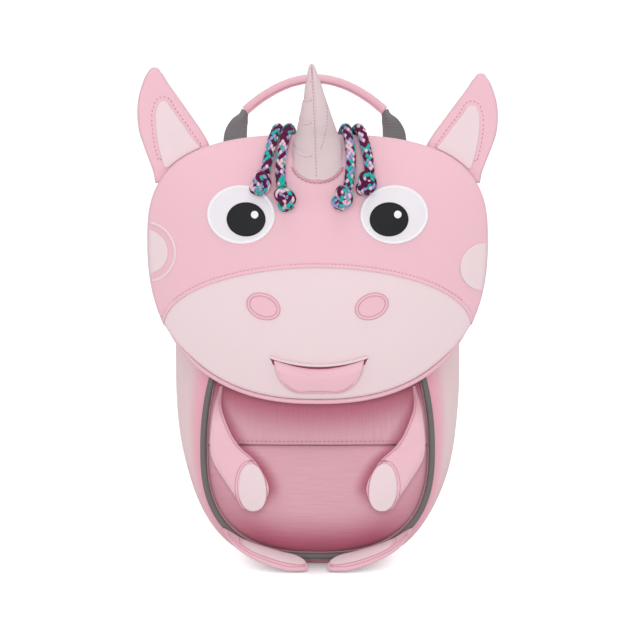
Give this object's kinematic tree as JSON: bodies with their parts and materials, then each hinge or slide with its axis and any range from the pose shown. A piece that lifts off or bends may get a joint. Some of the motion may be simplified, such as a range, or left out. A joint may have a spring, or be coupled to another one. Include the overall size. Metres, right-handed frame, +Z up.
{
  "type": "kids unicorn backpack",
  "caption": "Small soft child's backpack shaped like a unicorn: head-shaped lid with horn, ears and braided mane cords over a rounded bag with arms and feet, carry handle and shoulder straps",
  "frame": {"origin": "middle of the flat base that the bag stands on", "axes": "+Z up, the face and front pocket look towards -Y, the wearer's back is towards +Y, +X is the right-hand side of the picture"},
  "size_m": [0.2106, 0.1608, 0.295],
  "materials": {
    "pink_cloth": "soft foam-backed knit cloth, matt, baby pink",
    "side_cloth": "smooth matt woven cloth, pale dusty pink",
    "front_cloth": "fine woven cloth, deeper pink, slightly wrinkled",
    "pale_cloth": "soft foam-backed knit cloth, very pale pink",
    "horn_cloth": "stuffed cloth, pale greyish pink, stitched",
    "grey_piping": "grey piping with a slight sheen",
    "grey_webbing": "grey woven webbing",
    "eye_white": "smooth white sewn-on patch",
    "eye_black": "smooth black sewn-on patch",
    "braided_cord": "round braided cord of teal, plum, lavender and pink strands",
    "grey_plastic": "moulded matt plastic ladder slider"
  },
  "bodies": {
    "root": {"arm_left": "pink_cloth", "arm_right": "pink_cloth", "back_panel": "side_cloth", "bag_body": "side_cloth", "cheek_spot_left": "pale_cloth", "cheek_spot_right": "pale_cloth", "ear_left": "pink_cloth", "ear_patch_left": "pale_cloth", "ear_patch_right": "pale_cloth", "ear_right": "pink_cloth", "eye_glint_left": "eye_white", "eye_glint_right": "eye_white", "eye_white_left": "eye_white", "eye_white_right": "eye_white", "face_rim": "pink_cloth", "flap_hood": "pink_cloth", "foot_left": "pink_cloth", "foot_patch_left": "pale_cloth", "foot_patch_right": "pale_cloth", "foot_right": "pink_cloth", "forehead": "pink_cloth", "front_panel": "front_cloth", "front_pocket": "front_cloth", "hand_patch_left": "pale_cloth", "hand_patch_right": "pale_cloth", "handle_sleeve": "pink_cloth", "handle_webbing_left": "grey_webbing", "handle_webbing_right": "grey_webbing", "horn": "horn_cloth", "mane_cord_1": "braided_cord", "mane_cord_2": "braided_cord", "mane_cord_3": "braided_cord", "mane_cord_4": "braided_cord", "mane_knot_1": "braided_cord", "mane_knot_2": "braided_cord", "mane_knot_3": "braided_cord", "mane_knot_4": "braided_cord", "muzzle": "pale_cloth", "nostril_left": "pink_cloth", "nostril_right": "pink_cloth", "piping": "grey_piping", "pupil_left": "eye_black", "pupil_right": "eye_black", "shoulder_strap_left": "pink_cloth", "shoulder_strap_right": "pink_cloth", "strap_slider_left": "grey_plastic", "strap_slider_right": "grey_plastic", "strap_webbing_left": "grey_webbing", "strap_webbing_right": "grey_webbing", "tongue": "pink_cloth"}
  },
  "joints": []
}
